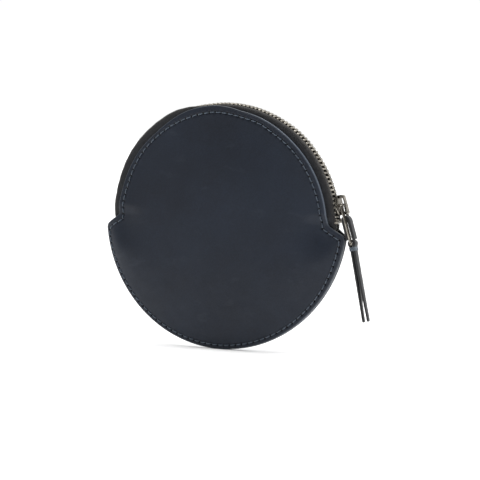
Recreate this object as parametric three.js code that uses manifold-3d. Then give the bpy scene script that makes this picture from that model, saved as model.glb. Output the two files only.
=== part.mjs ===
// Round zip-top coin purse in smooth leather, standing on its stitched rim.
//
// Units are millimetres and +Z is up. +X is the side where the closed zip's slider sits, and the
// front faces -Y. The origin is the middle of the flat of the back panel, at the height of the
// rim circle's centre. Everything is drawn about the purse's middle plane (y = 0) and then moved
// so that the back panel's flat lies on y = 0.
import * as THREE from 'three';
import { mergeVertices } from 'three/addons/utils/BufferGeometryUtils.js';
import Module from 'manifold-3d';

const wasm = await Module();
wasm.setup();

// ---- Driving dimensions -------------------------------------------------------------------

// Outline: a big rim circle below the shoulders, a smaller circle under the zip above them.
const RIM_RADIUS = 60;
const TOP_RADIUS = 52.6;
const ZIP_CENTRE_Z = -5;
const SHOULDER_INNER = { x: 52.5, z: -1.8 };
const SHOULDER_TIP = { x: 59.6, z: -6.5 };
const SHOULDER_ROUNDING = 1.9;
const ARC_STEP_DEG = 6;
const ARC_CLEAR_OF_SHOULDER_DEG = 2;
const RIM_CLEAR_OF_SHOULDER_DEG = 1;

// Half depth of the closed purse, measured from the middle plane to the leather's outer face.
const HALF_DEPTH_AT_RIM = 1.4;
const HALF_DEPTH_AT_ZIP = 5.7;
const MIDDLE_BULGE = 0.8;
const FLAT_RADIUS = 15;
const BULGE_RADIUS = 46;
const RISE_AT_BOTTOM = 28;
const RISE_AT_SHOULDER = 7.2;
const RISE_CHANGES_FROM_DEG = 30;
const RISE_CHANGES_TO_DEG = 84;
const DISH_RINGS = [1, 0.96, 0.92, 0.87, 0.25];

// Layers of the wall, from outside to inside.
const LEATHER_THICK = 1.2;
const LINING_THICK = 0.4;
const CLEARANCE = 0.3;
const TAPE_THICK = 0.45;
const LINING_RIM_RADIUS = 54;
const LINING_TOP_RADIUS = 51.5;
const LINING_TOP_END_DEG = -1;
const LINING_RIM_END_DEG = 7.5;

// The front panel bends at this height when the mouth opens, so it is drawn as two parts.
const FOLD_Z = -3;
const FOLD_HALF_GAP = 1.1;

// Zip: radii are taken from the zip centre, widths from the middle plane.
const TOOTH_TOP_RADIUS = 56.4;
const TOOTH_HEIGHT = 1.9;
const TOOTH_TIP_Y = 0.5;
const TOOTH_ROOT_Y = 1.9;
const BEAD_OUTER_Y = 2.7;
const TOOTH_WIDTH_DEG = 1.08;
const TOOTH_PITCH_DEG = 2.0625;
const TEETH_PER_ROW = 80;
const TEETH_START_DEG = 7.6;
const TAPE_INNER_RADIUS = 47.5;
const TAPE_TOP_RADIUS = 55.75;
const TAPE_HEM_THICK = 0.6;
const TAPE_EDGE_Y = 3.0;
const TAPE_END_DEG = 3.8;
const STOP_LENGTH = 2.2;
const STOP_PROUD = 0.2;
const TOP_STOP_DEG = 4.17;
const TOP_STOP_STAGGER_DEG = 0.5;
const BOTTOM_STOP_DEG = 173.4;
const BOTTOM_STOP_TIP_Y = 0.2;

// Slider and its cap, drawn at the top of the arc and then turned to the closed end.
const SLIDER_REST_DEG = 12.5;
const SLIDER_LENGTH = 9.2;
const SLIDER_WIDE = 6.8;
const SLIDER_NARROW = 5.4;
const PLATE_THICK = 0.9;
const PLATE_GAP = 0.35;
const UNDER_GAP = 0.5;
const WEB_HALF_WIDTH = 0.2;
const WEB_LENGTH = 2.6;
const WEB_SETBACK = 0.6;
const PLATE_CORNER_AHEAD = 1.8;
const PLATE_CORNER_BEHIND = 0.8;
const CAP_WIDTH = 2.4;
const CAP_LENGTH = 9.0;
const CAP_WALL = 0.7;
const CAP_FOOT = 1.5;
const CAP_CORNER = 1.1;
const CAP_HEIGHT_BEHIND = 2.5;
const CAP_HEIGHT_AHEAD = 3.5;
const PIVOT_HEIGHT = 1.15;

// Pull: a metal frame hung from the cap, with a leather strap folded over its bottom bar.
const PULL_REST_DEG = 18;
const PULL_THICK = 1.3;
const PULL_WIDTH = 5.0;
const PULL_WINDOW = 3.6;
const PULL_LENGTH = 18.6;
const PIVOT_RADIUS = 0.7;
const CROSS_BAR_TOP = 7.0;
const CROSS_BAR_HEIGHT = 1.3;
const STRIP_THICK = 1.05;
const STRIP_WIDTH = 3.3;
const FOLD_STEPS = 9;
const TAB_OUTER_LEG = 8.9;
const TAB_INNER_LEG = 8.9;
const TAB_BOW = 0.15;
const TAB_TIP_OUT = 0.1;
const STRAP_LENGTH = 35;
const STRAP_REST_DEG = 13;
const STRAP_LAYER_GAP = 0.3;
const STRAP_TIP_SPREAD = 2.3;
const STRAP_JOINED_SHARE = 0.4;
const STRAP_BEND_SHARE = 0.68;
const STRAP_BEND_OPENING = 0.45;
const TACK_LENGTH = 1.9;
const TACK_WALL = 0.5;
const TACK_FROM_BAR = 1.25;

// Seams: the thread runs this far inside the leather's edge.
const SEAM_TOP_RADIUS = 50.4;
const SEAM_RIM_RADIUS = 58.4;
const THREAD_SIZE = 0.5;
const SEAM_TOP_END_DEG = 5;
const SEAM_RIM_END_DEG = 9;

// ---- Materials ----------------------------------------------------------------------------

const material = (color, roughness, metalness) =>
  new THREE.MeshStandardMaterial({ color, roughness, metalness });
const leather = material(0x2b3039, 0.5, 0);
const strapLeather = material(0x34383f, 0.55, 0);
const lining = material(0x23262b, 0.9, 0);
const tape = material(0x26221f, 0.9, 0);
const thread = material(0x56687a, 0.7, 0);
const nickel = material(0x8f8a82, 0.3, 1);
const teethNickel = material(0x77726a, 0.35, 1);

// ---- Helpers ------------------------------------------------------------------------------

const radians = THREE.MathUtils.degToRad;
const degrees = THREE.MathUtils.radToDeg;
const { clamp, lerp, smoothstep } = THREE.MathUtils;

// Six times the volume inside a closed triangle mesh; negative if its faces point inwards.
function signedVolume(position, index) {
  const a = new THREE.Vector3();
  const b = new THREE.Vector3();
  const c = new THREE.Vector3();
  let total = 0;
  for (let i = 0; i < index.length; i += 3) {
    a.fromBufferAttribute(position, index[i]);
    b.fromBufferAttribute(position, index[i + 1]);
    c.fromBufferAttribute(position, index[i + 2]);
    total += a.dot(b.cross(c));
  }
  return total;
}

// A manifold solid from any closed three.js geometry, with its faces turned outwards.
function solid(geometry) {
  const bare = geometry.clone();
  bare.deleteAttribute('normal');
  bare.deleteAttribute('uv');
  const merged = mergeVertices(bare, 1e-4);
  const position = merged.getAttribute('position');
  const index = Uint32Array.from(merged.getIndex().array);
  if (signedVolume(position, index) < 0) {
    index.reverse();
  }
  return new wasm.Manifold(new wasm.Mesh({
    numProp: 3,
    vertProperties: Float32Array.from(position.array),
    triVerts: index,
  }));
}

function geometryOf(body) {
  const mesh = body.getMesh();
  const geometry = new THREE.BufferGeometry();
  geometry.setAttribute('position', new THREE.BufferAttribute(mesh.vertProperties, 3));
  geometry.setIndex(new THREE.BufferAttribute(mesh.triVerts, 1));
  geometry.computeVertexNormals();
  return geometry;
}

function addPart(parent, name, body, partMaterial) {
  const mesh = new THREE.Mesh(geometryOf(body), partMaterial.clone());
  mesh.name = name;
  parent.add(mesh);
  return mesh;
}

// A shape drawn in x and z, made solid between two values of y.
function plate(shape, yLow, yHigh, curveSegments = 6) {
  const options = { depth: yHigh - yLow, bevelEnabled: false, curveSegments };
  const geometry = new THREE.ExtrudeGeometry(shape, options);
  geometry.rotateX(Math.PI / 2);
  geometry.translate(0, yHigh, 0);
  return solid(geometry);
}

function box(xLow, xHigh, yLow, yHigh, zLow, zHigh) {
  const geometry = new THREE.BoxGeometry(xHigh - xLow, yHigh - yLow, zHigh - zLow);
  geometry.translate((xLow + xHigh) / 2, (yLow + yHigh) / 2, (zLow + zHigh) / 2);
  return solid(geometry);
}

const FAR = 90;
const above = (z) => box(-FAR, FAR, -FAR, FAR, z, FAR);
const below = (z) => box(-FAR, FAR, -FAR, FAR, -FAR, z);

// A ring about the zip centre, from a closed section of [radius, y] corners, kept over an arc.
function zipArc(section, fromDeg, toDeg) {
  const corners = section.map(([radius, y]) => new THREE.Vector2(radius, y));
  corners.push(corners[0].clone());
  const ring = new THREE.LatheGeometry(corners, 72);
  const middle = radians((fromDeg + toDeg) / 2);
  const half = radians((toDeg - fromDeg) / 2);
  const sector = new THREE.Shape();
  sector.moveTo(0, 0);
  for (const turn of [-half, -half / 2, 0, half / 2, half]) {
    sector.lineTo(FAR * Math.cos(middle + turn), FAR * Math.sin(middle + turn));
  }
  return solid(ring).intersect(plate(sector, -FAR, FAR)).translate([0, 0, ZIP_CENTRE_Z]);
}

// ---- Leather panels and linings -----------------------------------------------------------

// Half depth of the leather's outer face over a point of the middle plane.
function halfDepth(x, z) {
  const radius = Math.hypot(x, z);
  const fromBottomDeg = degrees(Math.atan2(Math.abs(x), -z));
  const share = smoothstep(fromBottomDeg, RISE_CHANGES_FROM_DEG, RISE_CHANGES_TO_DEG);
  const run = lerp(RISE_AT_BOTTOM, RISE_AT_SHOULDER, share);
  const rise = 1 - (1 - clamp((RIM_RADIUS - radius) / run, 0, 1)) ** 2;
  const bulge = 1 - smoothstep(radius, FLAT_RADIUS, BULGE_RADIUS);
  return HALF_DEPTH_AT_RIM + (HALF_DEPTH_AT_ZIP - HALF_DEPTH_AT_RIM) * rise + MIDDLE_BULGE * bulge;
}

const radiansBetween = (from, to) => {
  const steps = Math.ceil(Math.abs(to - from) / ARC_STEP_DEG);
  return Array.from({ length: steps + 1 }, (_, i) => radians(lerp(from, to, i / steps)));
};

// The right shoulder, from the upper arc out to the rim arc, as rounded corners.
function shoulderPoints() {
  const inner = new THREE.Vector2(SHOULDER_INNER.x, SHOULDER_INNER.z);
  const tip = new THREE.Vector2(SHOULDER_TIP.x, SHOULDER_TIP.z);
  const along = tip.clone().sub(inner).normalize().multiplyScalar(SHOULDER_ROUNDING);
  const fromArc = new THREE.Vector2(SHOULDER_INNER.x, SHOULDER_INNER.z + SHOULDER_ROUNDING);
  const toRim = new THREE.Vector2(SHOULDER_TIP.x, SHOULDER_TIP.z - SHOULDER_ROUNDING);
  const innerCurve = new THREE.QuadraticBezierCurve(fromArc, inner, inner.clone().add(along));
  const tipCurve = new THREE.QuadraticBezierCurve(tip.clone().sub(along), tip, toRim);
  return [...innerCurve.getPoints(3), ...tipCurve.getPoints(3)];
}

// The panel's outline in x and z, anticlockwise as seen from the front, from the right shoulder.
function panelOutline() {
  const arcEnd = SHOULDER_INNER.z + SHOULDER_ROUNDING - ZIP_CENTRE_Z;
  const rimEnd = SHOULDER_ROUNDING - SHOULDER_TIP.z;
  const topDeg = degrees(Math.asin(arcEnd / TOP_RADIUS)) + ARC_CLEAR_OF_SHOULDER_DEG;
  const rimDeg = degrees(Math.asin(rimEnd / RIM_RADIUS)) + RIM_CLEAR_OF_SHOULDER_DEG;
  const upper = radiansBetween(topDeg, 180 - topDeg).map(
    (a) => new THREE.Vector2(TOP_RADIUS * Math.cos(a), ZIP_CENTRE_Z + TOP_RADIUS * Math.sin(a)));
  const lower = radiansBetween(180 + rimDeg, 360 - rimDeg).map(
    (a) => new THREE.Vector2(RIM_RADIUS * Math.cos(a), RIM_RADIUS * Math.sin(a)));
  const right = shoulderPoints();
  const left = right.map((p) => new THREE.Vector2(-p.x, p.y));
  return [...upper, ...left, ...lower, ...right.reverse()];
}

// A curved wall over the whole outline, between two distances inside the leather's outer face.
// side is -1 for the front of the purse and 1 for the back.
function wall(side, outerInset, innerInset) {
  const outline = panelOutline();
  const count = outline.length;
  const vertices = [];
  const triangles = [];
  for (const inset of [outerInset, innerInset]) {
    for (const scale of DISH_RINGS) {
      for (const point of outline) {
        const x = point.x * scale;
        const z = point.y * scale;
        vertices.push(x, side * (halfDepth(x, z) - inset), z);
      }
    }
    vertices.push(0, side * (halfDepth(0, 0) - inset), 0);
  }
  const perFace = DISH_RINGS.length * count + 1;
  const quad = (a, b, c, d) => triangles.push(a, b, c, a, c, d);
  for (let i = 0; i < count; i += 1) {
    const next = (i + 1) % count;
    for (let ring = 0; ring + 1 < DISH_RINGS.length; ring += 1) {
      const outer = ring * count;
      const inner = outer + count;
      quad(outer + i, outer + next, inner + next, inner + i);
      quad(perFace + inner + i, perFace + inner + next, perFace + outer + next, perFace + outer + i);
    }
    const last = (DISH_RINGS.length - 1) * count;
    triangles.push(last + i, last + next, perFace - 1);
    triangles.push(perFace + last + next, perFace + last + i, 2 * perFace - 1);
    quad(perFace + i, perFace + next, next, i);
  }
  const geometry = new THREE.BufferGeometry();
  geometry.setAttribute('position', new THREE.Float32BufferAttribute(vertices, 3));
  geometry.setIndex(triangles);
  return solid(geometry);
}

const LINING_OUTER_INSET = LEATHER_THICK + CLEARANCE + TAPE_THICK + CLEARANCE;

// The lining stops short of the rim seam, where the two panels close together.
function liningWall(side) {
  const cut = new THREE.Shape();
  cut.absarc(0, ZIP_CENTRE_Z, LINING_TOP_RADIUS,
    radians(LINING_TOP_END_DEG), radians(180 - LINING_TOP_END_DEG), false);
  cut.absarc(0, 0, LINING_RIM_RADIUS,
    radians(180 + LINING_RIM_END_DEG), radians(360 - LINING_RIM_END_DEG), false);
  const layer = wall(side, LINING_OUTER_INSET, LINING_OUTER_INSET + LINING_THICK);
  return layer.intersect(plate(cut, -FAR, FAR, 16));
}

// ---- Seam threads -------------------------------------------------------------------------

// A thin square cord along points that lie just off the leather.
function threadAlong(points) {
  const curve = new THREE.CatmullRomCurve3(points);
  const half = THREAD_SIZE / 2;
  const section = new THREE.Shape();
  section.moveTo(-half, -half);
  section.lineTo(half, -half);
  section.lineTo(half, half);
  section.lineTo(-half, half);
  const options = { steps: points.length - 1, extrudePath: curve, bevelEnabled: false };
  return solid(new THREE.ExtrudeGeometry(section, options));
}

function seamPoints(side, centreZ, radius, fromDeg, toDeg) {
  return radiansBetween(fromDeg, toDeg).map((a) => {
    const x = radius * Math.cos(a);
    const z = centreZ + radius * Math.sin(a);
    const lift = THREAD_SIZE + CLEARANCE;
    return new THREE.Vector3(x, side * (halfDepth(x, z) + lift), z);
  });
}

const topSeam = (side) => threadAlong(seamPoints(
  side, ZIP_CENTRE_Z, SEAM_TOP_RADIUS, SEAM_TOP_END_DEG, 180 - SEAM_TOP_END_DEG));
const rimSeam = (side) => threadAlong(seamPoints(
  side, 0, SEAM_RIM_RADIUS, 180 + SEAM_RIM_END_DEG, 360 - SEAM_RIM_END_DEG));

// ---- Zip ----------------------------------------------------------------------------------

// One side's tape: a leg sewn behind the leather and a hem that turns in to the teeth.
function zipTape(side) {
  const outerY = HALF_DEPTH_AT_ZIP - LEATHER_THICK - CLEARANCE;
  const innerY = outerY - TAPE_THICK;
  const hemRadius = TAPE_TOP_RADIUS - TAPE_HEM_THICK;
  const section = [
    [TAPE_INNER_RADIUS, innerY],
    [hemRadius, innerY],
    [hemRadius, TAPE_EDGE_Y],
    [TAPE_TOP_RADIUS, TAPE_EDGE_Y],
    [TAPE_TOP_RADIUS, outerY],
    [TAPE_INNER_RADIUS, outerY],
  ];
  const sided = section.map(([radius, y]) => [radius, side * y]);
  return zipArc(sided, TAPE_END_DEG, 180 - TAPE_END_DEG);
}

// One row of teeth on the bead that carries them. The rows leave room for the slider's web.
function teethRow(side, startDeg) {
  const low = TOOTH_TOP_RADIUS - TOOTH_HEIGHT;
  const vertices = [];
  const triangles = [];
  const stations = [];
  for (let tooth = 0; tooth < TEETH_PER_ROW; tooth += 1) {
    const middle = startDeg + tooth * TOOTH_PITCH_DEG;
    stations.push(middle - TOOTH_WIDTH_DEG / 2, middle + TOOTH_WIDTH_DEG / 2);
  }
  for (const deg of stations) {
    const a = radians(deg);
    for (const y of [BEAD_OUTER_Y, TOOTH_ROOT_Y, TOOTH_TIP_Y]) {
      for (const radius of [low, TOOTH_TOP_RADIUS]) {
        vertices.push(radius * Math.cos(a), side * y, ZIP_CENTRE_Z + radius * Math.sin(a));
      }
    }
  }
  const quad = (a, b, c, d) => triangles.push(a, b, c, a, c, d);
  const OUTER = 0;
  const ROOT = 2;
  const TIP = 4;
  const PER_STATION = 6;
  // Faces between two stations, for the strip between the corners named near and far.
  const strip = (at, near, far) => {
    const next = at + PER_STATION;
    quad(at + near, at + far, next + far, next + near);
    quad(at + near + 1, next + near + 1, next + far + 1, at + far + 1);
  };
  const outerSide = (at, corner) => {
    const next = at + PER_STATION;
    quad(at + corner, next + corner, next + corner + 1, at + corner + 1);
  };
  const innerSide = (at, corner) => {
    const next = at + PER_STATION;
    quad(at + corner, at + corner + 1, next + corner + 1, next + corner);
  };
  for (let i = 0; i + 1 < stations.length; i += 1) {
    const at = i * PER_STATION;
    strip(at, OUTER, ROOT);
    outerSide(at, OUTER);
    if (i % 2 === 0) {
      const next = at + PER_STATION;
      strip(at, ROOT, TIP);
      innerSide(at, TIP);
      quad(at + ROOT, at + ROOT + 1, at + TIP + 1, at + TIP);
      quad(next + ROOT, next + TIP, next + TIP + 1, next + ROOT + 1);
    } else {
      innerSide(at, ROOT);
    }
  }
  const end = (stations.length - 1) * PER_STATION;
  quad(0, 1, ROOT + 1, ROOT);
  quad(end, end + ROOT, end + ROOT + 1, end + 1);
  const geometry = new THREE.BufferGeometry();
  geometry.setAttribute('position', new THREE.Float32BufferAttribute(vertices, 3));
  geometry.setIndex(triangles);
  return solid(geometry);
}

// A metal clip at the end of one row, or over both rows where yTip is on the other side.
function zipStop(side, yTip, fromDeg) {
  const toDeg = fromDeg + degrees(STOP_LENGTH / TOOTH_TOP_RADIUS);
  const low = TOOTH_TOP_RADIUS - TOOTH_HEIGHT;
  const section = [
    [low, side * yTip],
    [TOOTH_TOP_RADIUS + STOP_PROUD, side * yTip],
    [TOOTH_TOP_RADIUS + STOP_PROUD, side * BEAD_OUTER_Y],
    [low, side * BEAD_OUTER_Y],
  ];
  return zipArc(section, fromDeg, toDeg);
}

// ---- Slider -------------------------------------------------------------------------------
// Drawn at the top of the arc: x runs along the zip towards the closed end, z is the radius.

function sliderOutline() {
  const half = SLIDER_LENGTH / 2;
  const wide = SLIDER_WIDE / 2;
  const narrow = SLIDER_NARROW / 2;
  const ahead = PLATE_CORNER_AHEAD;
  const behind = PLATE_CORNER_BEHIND;
  const shape = new THREE.Shape();
  shape.moveTo(-half + behind, -narrow);
  shape.lineTo(half - ahead, -wide);
  shape.quadraticCurveTo(half, -wide, half, -wide + ahead);
  shape.lineTo(half, wide - ahead);
  shape.quadraticCurveTo(half, wide, half - ahead, wide);
  shape.lineTo(-half + behind, narrow);
  shape.quadraticCurveTo(-half, narrow, -half, narrow - behind);
  shape.lineTo(-half, -narrow + behind);
  shape.quadraticCurveTo(-half, -narrow, -half + behind, -narrow);
  return shape;
}

// A shape drawn in x and y, made solid between two heights.
function slab(shape, zLow, zHigh) {
  const options = { depth: zHigh - zLow, bevelEnabled: false, curveSegments: 4 };
  const geometry = new THREE.ExtrudeGeometry(shape, options);
  geometry.translate(0, 0, zLow);
  return solid(geometry);
}

const TOP_PLATE_LOW = TOOTH_TOP_RADIUS + PLATE_GAP;
const TOP_PLATE_HIGH = TOP_PLATE_LOW + PLATE_THICK;
const PIVOT_RADIUS_FROM_ZIP = TOP_PLATE_HIGH + PIVOT_HEIGHT;

function sliderBody() {
  const bottomHigh = TOOTH_TOP_RADIUS - TOOTH_HEIGHT - UNDER_GAP;
  const top = slab(sliderOutline(), TOP_PLATE_LOW, TOP_PLATE_HIGH);
  const bottom = slab(sliderOutline(), bottomHigh - PLATE_THICK, bottomHigh);
  const webEnd = SLIDER_LENGTH / 2 - WEB_SETBACK;
  const web = box(webEnd - WEB_LENGTH, webEnd, -WEB_HALF_WIDTH, WEB_HALF_WIDTH,
    bottomHigh - PLATE_THICK / 2, TOP_PLATE_LOW + PLATE_THICK / 2);
  return top.add(bottom).add(web);
}

// An arched cap over the top plate, a little taller at the closed end. The pull's pivot bar
// passes under it.
function sliderCap() {
  const half = CAP_LENGTH / 2;
  const inner = half - CAP_FOOT;
  const low = TOP_PLATE_HIGH + CLEARANCE / 3;
  const slope = (CAP_HEIGHT_AHEAD - CAP_HEIGHT_BEHIND) / CAP_LENGTH;
  const topAt = (x) => TOP_PLATE_HIGH + CAP_HEIGHT_BEHIND + slope * (x + half);
  const ceilingAt = (x) => topAt(x) - CAP_WALL;
  const bend = CAP_CORNER / 2;
  const shape = new THREE.Shape();
  shape.moveTo(-half, low);
  shape.lineTo(-inner, low);
  shape.lineTo(-inner, ceilingAt(-inner) - bend);
  shape.quadraticCurveTo(-inner, ceilingAt(-inner), -inner + bend, ceilingAt(-inner + bend));
  shape.lineTo(inner - bend, ceilingAt(inner - bend));
  shape.quadraticCurveTo(inner, ceilingAt(inner), inner, ceilingAt(inner) - bend);
  shape.lineTo(inner, low);
  shape.lineTo(half, low);
  shape.lineTo(half, topAt(half) - CAP_CORNER);
  shape.quadraticCurveTo(half, topAt(half), half - CAP_CORNER, topAt(half - CAP_CORNER));
  shape.lineTo(-half + CAP_CORNER, topAt(-half + CAP_CORNER));
  shape.quadraticCurveTo(-half, topAt(-half), -half, topAt(-half) - CAP_CORNER);
  return plate(shape, -CAP_WIDTH / 2, CAP_WIDTH / 2, 3);
}

// ---- Pull ---------------------------------------------------------------------------------
// Drawn hanging straight down from the pivot: x is outwards, away from the purse.

const STRAP_BAR_Z = -PULL_LENGTH + PULL_THICK / 2;

function pullFrame() {
  const half = PULL_THICK / 2;
  const width = PULL_WIDTH / 2;
  const window = PULL_WINDOW / 2;
  const blank = box(-half, half, -width, width, -PULL_LENGTH, 0);
  const eye = box(-FAR, FAR, -window, window, -CROSS_BAR_TOP, PIVOT_RADIUS + 1);
  const slot = box(-FAR, FAR, -window, window, -FAR, -CROSS_BAR_TOP - CROSS_BAR_HEIGHT);
  const roundBar = (radius) => solid(new THREE.CylinderGeometry(radius, radius, PULL_WIDTH, 12));
  const rails = blank.subtract(eye).subtract(slot);
  return rails.add(roundBar(PIVOT_RADIUS)).add(roundBar(half).translate([0, 0, STRAP_BAR_Z]));
}

// A leather strip bent along a line of [x, z] points, made solid at its full width. The points run
// down the middle of its thickness.
function strip(points) {
  const half = STRIP_THICK / 2;
  const centre = points.map(([x, z]) => new THREE.Vector2(x, z));
  const left = [];
  const right = [];
  centre.forEach((point, i) => {
    const before = centre[Math.max(i - 1, 0)];
    const after = centre[Math.min(i + 1, centre.length - 1)];
    const along = after.clone().sub(before).normalize();
    const across = new THREE.Vector2(-along.y, along.x).multiplyScalar(half);
    left.push(point.clone().add(across));
    right.unshift(point.clone().sub(across));
  });
  return plate(new THREE.Shape([...left, ...right]), -STRIP_WIDTH / 2, STRIP_WIDTH / 2);
}

const FOLD_RADIUS = PULL_THICK / 2 + CLEARANCE + STRIP_THICK / 2;

// Half a turn about a bar at height z, from outside to behind, over it or under it.
function foldPoints(z, bulge) {
  return Array.from({ length: FOLD_STEPS + 1 }, (_, i) => {
    const a = radians((180 * i) / FOLD_STEPS);
    return [FOLD_RADIUS * Math.cos(a), z + bulge * FOLD_RADIUS * Math.sin(a)];
  });
}

// The short leather strip over the cross bar, one leg outside the frame and one behind it.
function pullTab() {
  const z = -CROSS_BAR_TOP;
  const points = [
    [FOLD_RADIUS + TAB_TIP_OUT, z - TAB_OUTER_LEG],
    [FOLD_RADIUS + TAB_BOW, z - TAB_OUTER_LEG / 2],
  ];
  points.push(...foldPoints(z, 1), [-FOLD_RADIUS, z - TAB_INNER_LEG]);
  return strip(points);
}

// The long strap, folded over the bottom bar. Drawn hanging straight down from that bar: its
// layers close up below the bar, run together and part again towards their tips.
function pullStrap() {
  const together = (STRIP_THICK + STRAP_LAYER_GAP) / 2;
  const apart = STRAP_TIP_SPREAD / 2;
  const leg = (sign) => [
    [sign * together, -TACK_FROM_BAR],
    [sign * together, -STRAP_LENGTH * STRAP_JOINED_SHARE],
    [sign * lerp(together, apart, STRAP_BEND_OPENING), -STRAP_LENGTH * STRAP_BEND_SHARE],
    [sign * apart, -STRAP_LENGTH],
  ];
  return strip([...leg(1).reverse(), ...foldPoints(0, 1), ...leg(-1)]);
}

// The thread tack that binds the strap's two layers just under the frame.
function strapTack() {
  const innerX = STRIP_THICK + STRAP_LAYER_GAP / 2 + CLEARANCE;
  const innerY = STRIP_WIDTH / 2 + CLEARANCE;
  const low = -TACK_FROM_BAR - TACK_LENGTH;
  const shell = box(-innerX - TACK_WALL, innerX + TACK_WALL, -innerY - TACK_WALL, innerY + TACK_WALL,
    low, -TACK_FROM_BAR);
  return shell.subtract(box(-innerX, innerX, -innerY, innerY, -FAR, FAR));
}

// ---- Assembly -----------------------------------------------------------------------------

const purse = new THREE.Group();
purse.position.y = -HALF_DEPTH_AT_ZIP - MIDDLE_BULGE;

// Panels and linings.
const upperPart = above(FOLD_Z + FOLD_HALF_GAP);
const lowerPart = below(FOLD_Z - FOLD_HALF_GAP);
const frontPanel = wall(-1, 0, LEATHER_THICK);
const frontLining = liningWall(-1);
addPart(purse, 'back_panel', wall(1, 0, LEATHER_THICK), leather);
addPart(purse, 'back_lining', liningWall(1), lining);
addPart(purse, 'front_panel_lower', frontPanel.intersect(lowerPart), leather);
addPart(purse, 'front_panel_upper', frontPanel.intersect(upperPart), leather);
addPart(purse, 'front_lining_lower', frontLining.intersect(lowerPart), lining);
addPart(purse, 'front_lining_upper', frontLining.intersect(upperPart), lining);

// Seams.
addPart(purse, 'rim_thread_front', rimSeam(-1), thread);
addPart(purse, 'rim_thread_back', rimSeam(1), thread);
addPart(purse, 'zip_thread_front', topSeam(-1), thread);
addPart(purse, 'zip_thread_back', topSeam(1), thread);

// Zip.
addPart(purse, 'zip_tape_front', zipTape(-1), tape);
addPart(purse, 'zip_tape_back', zipTape(1), tape);
addPart(purse, 'zip_teeth_front', teethRow(-1, TEETH_START_DEG), teethNickel);
addPart(purse, 'zip_teeth_back', teethRow(1, TEETH_START_DEG + TOOTH_PITCH_DEG / 2), teethNickel);
addPart(purse, 'top_stop_front', zipStop(-1, TOOTH_TIP_Y, TOP_STOP_DEG), nickel);
addPart(purse, 'top_stop_back', zipStop(1, TOOTH_TIP_Y, TOP_STOP_DEG + TOP_STOP_STAGGER_DEG), nickel);
addPart(purse, 'bottom_stop', zipStop(1, BOTTOM_STOP_TIP_Y, BOTTOM_STOP_DEG), nickel);

// Slider, turned about the zip centre to the closed end.
const zipCentre = new THREE.Group();
zipCentre.position.z = ZIP_CENTRE_Z;
zipCentre.rotation.y = radians(90 - SLIDER_REST_DEG);
purse.add(zipCentre);
addPart(zipCentre, 'slider_body', sliderBody(), nickel);
addPart(zipCentre, 'slider_cap', sliderCap(), nickel);

// Pull, hung from the pivot under the cap, leaning on the shoulder below.
const pivotAngle = radians(SLIDER_REST_DEG);
const pull = new THREE.Group();
pull.position.x = PIVOT_RADIUS_FROM_ZIP * Math.cos(pivotAngle);
pull.position.z = ZIP_CENTRE_Z + PIVOT_RADIUS_FROM_ZIP * Math.sin(pivotAngle);
pull.rotation.y = -radians(PULL_REST_DEG);
purse.add(pull);
addPart(pull, 'pull_frame', pullFrame(), nickel);
addPart(pull, 'pull_tab', pullTab(), strapLeather);

// Strap, hung from the frame's bottom bar.
const strap = new THREE.Group();
strap.position.z = STRAP_BAR_Z;
strap.rotation.y = radians(PULL_REST_DEG - STRAP_REST_DEG);
pull.add(strap);
addPart(strap, 'pull_strap', pullStrap(), strapLeather);
addPart(strap, 'strap_tack', strapTack(), thread);

export default purse;
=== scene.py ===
import math

import bpy
import numpy as np
from mathutils import Matrix, Vector


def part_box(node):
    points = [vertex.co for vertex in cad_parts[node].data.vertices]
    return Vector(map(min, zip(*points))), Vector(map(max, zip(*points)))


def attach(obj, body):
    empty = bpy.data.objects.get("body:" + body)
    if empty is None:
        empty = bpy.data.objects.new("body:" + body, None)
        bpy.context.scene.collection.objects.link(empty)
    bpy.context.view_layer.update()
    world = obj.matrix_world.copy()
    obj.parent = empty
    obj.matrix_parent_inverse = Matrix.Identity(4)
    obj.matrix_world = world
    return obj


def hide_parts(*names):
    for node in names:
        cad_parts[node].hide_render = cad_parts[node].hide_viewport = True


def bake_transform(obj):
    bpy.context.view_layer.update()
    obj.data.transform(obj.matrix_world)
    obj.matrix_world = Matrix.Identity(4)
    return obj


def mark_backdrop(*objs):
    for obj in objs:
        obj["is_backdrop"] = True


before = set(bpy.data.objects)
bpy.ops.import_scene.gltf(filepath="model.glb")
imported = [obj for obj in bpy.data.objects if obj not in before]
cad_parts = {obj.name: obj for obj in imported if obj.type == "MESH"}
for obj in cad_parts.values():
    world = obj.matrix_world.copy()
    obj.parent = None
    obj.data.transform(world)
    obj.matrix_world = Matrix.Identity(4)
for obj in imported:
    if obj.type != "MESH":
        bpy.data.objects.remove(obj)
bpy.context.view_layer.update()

# A round zip-top coin purse in smooth navy leather, standing on its rim. Lengths are in
# millimetres about the purse's middle plane (y = 0, front at -y) until to_row() turns them
# into metres in the row frame. "Theta" is the angle about the zip's centre in degrees,
# anticlockwise from +x as seen from the front.

MIDDLE_Y = -6.5
RIM_RADIUS = 60.0
ZIP_CENTRE = np.array([0.0, -5.0])
PANEL_CENTRE = np.array([0.0, -3.0])
EDGE_RADIUS = 52.3
INNER_CORNER = np.array([52.45, -1.8])
SHOULDER_TIP = np.array([59.6, -6.5])
INNER_ROUNDING = 1.0
TIP_ROUNDING = 1.7
SEAM_RADIUS = 50.3
SEAM_INNER_CORNER = np.array([49.6, -3.3])
SEAM_TIP = np.array([57.3, -7.9])
SEAM_RIM_RADIUS = 58.15
STITCH_PITCH = 3.0
THREAD_RADIUS = 0.21
PIT_WIDTH = 0.46

HALF_DEPTH_AT_RIM = 1.4
HALF_DEPTH_AT_ZIP = 5.7
MIDDLE_BULGE = 0.8
SHOULDER_PINCH = 1.9
LEATHER_THICK = 1.2
RIM_GAP = 0.004
EDGE_ROUNDING = 0.38
# The walls' inner rings shrink by shares of this.
WALL_REACH = 56
LINING_INSET = 2.25
LINING_THICK = 0.4

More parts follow.
